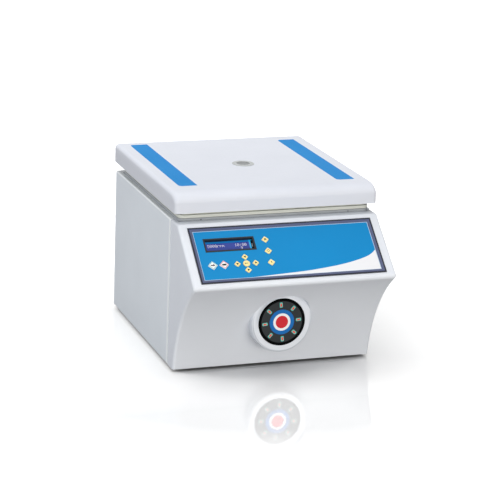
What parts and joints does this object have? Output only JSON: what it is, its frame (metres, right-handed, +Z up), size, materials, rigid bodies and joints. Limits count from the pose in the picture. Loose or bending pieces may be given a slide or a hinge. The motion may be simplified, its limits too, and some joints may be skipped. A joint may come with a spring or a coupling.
{
  "type": "microplate centrifuge",
  "caption": "Bench centrifuge with a hinged lid, a swing-out rotor for microplates, a sloping panel with keys and display, and a round lit indicator on its curved front.",
  "frame": {"origin": "on the bench under the middle of the bounding box", "axes": "+X to the operator's right, +Y to the back, +Z up; the control panel faces -Y"},
  "size_m": [0.46, 0.614, 0.3956],
  "materials": {
    "casing_paint": "fine-textured powder coat",
    "fascia_plastic": "satin moulded",
    "lid_plastic": "satin moulded",
    "liner_plastic": "matt moulded",
    "deck_plastic": "matt moulded",
    "strip_film": "glossy film",
    "plug_rubber": "matt",
    "stainless_sheet": "brushed",
    "seal_rubber": "matt",
    "foot_rubber": "matt",
    "armour_steel": "primed",
    "rotor_aluminium": "machined and anodised",
    "carrier_aluminium": "bead blasted and anodised",
    "cast_aluminium": "as cast",
    "ground_steel": "ground",
    "hardened_steel": "hardened",
    "zinc_sheet": "zinc plated",
    "screw_steel": "zinc plated",
    "black_plastic": "satin moulded",
    "frame_plastic": "satin moulded",
    "overlay_film": "printed film",
    "display_glass": "clear over a blue display",
    "port_glass": "clear",
    "port_ring": "satin moulded",
    "circuit_board": "solder mask",
    "key_white": "printed cap",
    "key_yellow": "printed cap",
    "disc_black": "glossy moulded",
    "lamp_red": "translucent",
    "badge_plastic": "enamelled, blank"
  },
  "bodies": {
    "base": {"badge": "badge_plastic", "base_tray": "zinc_sheet", "chamber_bowl": "stainless_sheet", "chamber_seal": "seal_rubber", "control_board": "circuit_board", "display_bezel": "black_plastic", "display_module": "zinc_sheet", "display_window": "display_glass", "drive_inverter": "cast_aluminium", "front_fascia": "fascia_plastic", "fuse_drawer": "black_plastic", "guard_ring": "armour_steel", "hinge_brackets": "zinc_sheet", "indicator_disc": "disc_black", "indicator_leds": "lamp_red", "keypad_board": "circuit_board", "lock_brackets": "zinc_sheet", "lock_motors": "black_plastic", "mains_inlet": "black_plastic", "motor_body": "cast_aluminium", "motor_mounts": "seal_rubber", "motor_plate": "armour_steel", "panel_frame": "frame_plastic", "panel_overlay": "overlay_film", "pivot_pins": "ground_steel", "rear_panel": "casing_paint", "release_plugs": "plug_rubber", "rubber_feet": "foot_rubber", "screws": "screw_steel", "shaft_boot": "seal_rubber", "side_panel_left": "casing_paint", "side_panel_right": "casing_paint", "switch_housing": "black_plastic", "top_deck": "deck_plastic"},
    "lid": {"lid_shell": "lid_plastic", "lid_strips": "strip_film", "lid_armour": "armour_steel", "lid_liner": "liner_plastic", "sight_port": "port_ring", "port_lens": "port_glass", "strikers": "ground_steel", "hinge_leaves": "zinc_sheet"},
    "rotor": {"rotor_yoke": "rotor_aluminium", "rotor_nut": "ground_steel", "drive_shaft": "ground_steel"},
    "carrier_left": {"carrier_left": "carrier_aluminium"},
    "carrier_right": {"carrier_right": "carrier_aluminium"},
    "lock_hook_left": {"lock_hook_left": "hardened_steel"},
    "lock_hook_right": {"lock_hook_right": "hardened_steel"},
    "mains_rocker": {"mains_rocker": "black_plastic"},
    "key_start": {"key_start": "key_white"},
    "key_stop": {"key_stop": "key_white"},
    "key_up": {"key_up": "key_yellow"},
    "key_left": {"key_left": "key_yellow"},
    "key_right": {"key_right": "key_yellow"},
    "key_down": {"key_down": "key_yellow"},
    "key_enter": {"key_enter": "key_yellow"},
    "key_program": {"key_program": "key_yellow"},
    "key_timer": {"key_timer": "key_yellow"},
    "key_lid": {"key_lid": "key_yellow"}
  },
  "joints": [
    {"name": "lid_hinge", "type": "hinge", "parent": "base", "child": "lid", "pos_m": [0, 0.28401, 0.3606], "axis": [-1, 0, 0], "range_deg": [0, 75]},
    {"name": "rotor_spin", "type": "hinge", "parent": "base", "child": "rotor", "pos_m": [0, 0.05901, 0.27], "axis": [0, 0, 1], "continuous": true},
    {"name": "carrier_right_swing", "type": "hinge", "parent": "rotor", "child": "carrier_right", "pos_m": [0.088, 0.05901, 0.27], "axis": [0, -1, 0], "range_deg": [0, 90]},
    {"name": "carrier_left_swing", "type": "hinge", "parent": "rotor", "child": "carrier_left", "pos_m": [-0.088, 0.05901, 0.27], "axis": [0, 1, 0], "range_deg": [0, 90]},
    {"name": "lock_hook_right_turn", "type": "hinge", "parent": "base", "child": "lock_hook_right", "pos_m": [0.168, -0.13299, 0.29], "axis": [1, 0, 0], "range_deg": [0, 50]},
    {"name": "lock_hook_left_turn", "type": "hinge", "parent": "base", "child": "lock_hook_left", "pos_m": [-0.168, -0.13299, 0.29], "axis": [1, 0, 0], "range_deg": [0, 50]},
    {"name": "mains_rocker_tilt", "type": "hinge", "parent": "base", "child": "mains_rocker", "pos_m": [-0.09, 0.28601, 0.07], "axis": [1, 0, 0], "range_deg": [0, 18]},
    {"name": "key_start_press", "type": "slide", "parent": "base", "child": "key_start", "axis": [0, 0.6388, -0.7694], "range_m": [0, 0.0006], "stiffness_N_per_m": 2000},
    {"name": "key_stop_press", "type": "slide", "parent": "base", "child": "key_stop", "axis": [0, 0.6388, -0.7694], "range_m": [0, 0.0006], "stiffness_N_per_m": 2000},
    {"name": "key_up_press", "type": "slide", "parent": "base", "child": "key_up", "axis": [0, 0.6388, -0.7694], "range_m": [0, 0.0006], "stiffness_N_per_m": 2000},
    {"name": "key_left_press", "type": "slide", "parent": "base", "child": "key_left", "axis": [0, 0.6388, -0.7694], "range_m": [0, 0.0006], "stiffness_N_per_m": 2000},
    {"name": "key_right_press", "type": "slide", "parent": "base", "child": "key_right", "axis": [0, 0.6388, -0.7694], "range_m": [0, 0.0006], "stiffness_N_per_m": 2000},
    {"name": "key_down_press", "type": "slide", "parent": "base", "child": "key_down", "axis": [0, 0.6388, -0.7694], "range_m": [0, 0.0006], "stiffness_N_per_m": 2000},
    {"name": "key_enter_press", "type": "slide", "parent": "base", "child": "key_enter", "axis": [0, 0.6388, -0.7694], "range_m": [0, 0.0006], "stiffness_N_per_m": 2000},
    {"name": "key_program_press", "type": "slide", "parent": "base", "child": "key_program", "axis": [0, 0.6388, -0.7694], "range_m": [0, 0.0006], "stiffness_N_per_m": 2000},
    {"name": "key_timer_press", "type": "slide", "parent": "base", "child": "key_timer", "axis": [0, 0.6388, -0.7694], "range_m": [0, 0.0006], "stiffness_N_per_m": 2000},
    {"name": "key_lid_press", "type": "slide", "parent": "base", "child": "key_lid", "axis": [0, 0.6388, -0.7694], "range_m": [0, 0.0006], "stiffness_N_per_m": 2000}
  ]
}
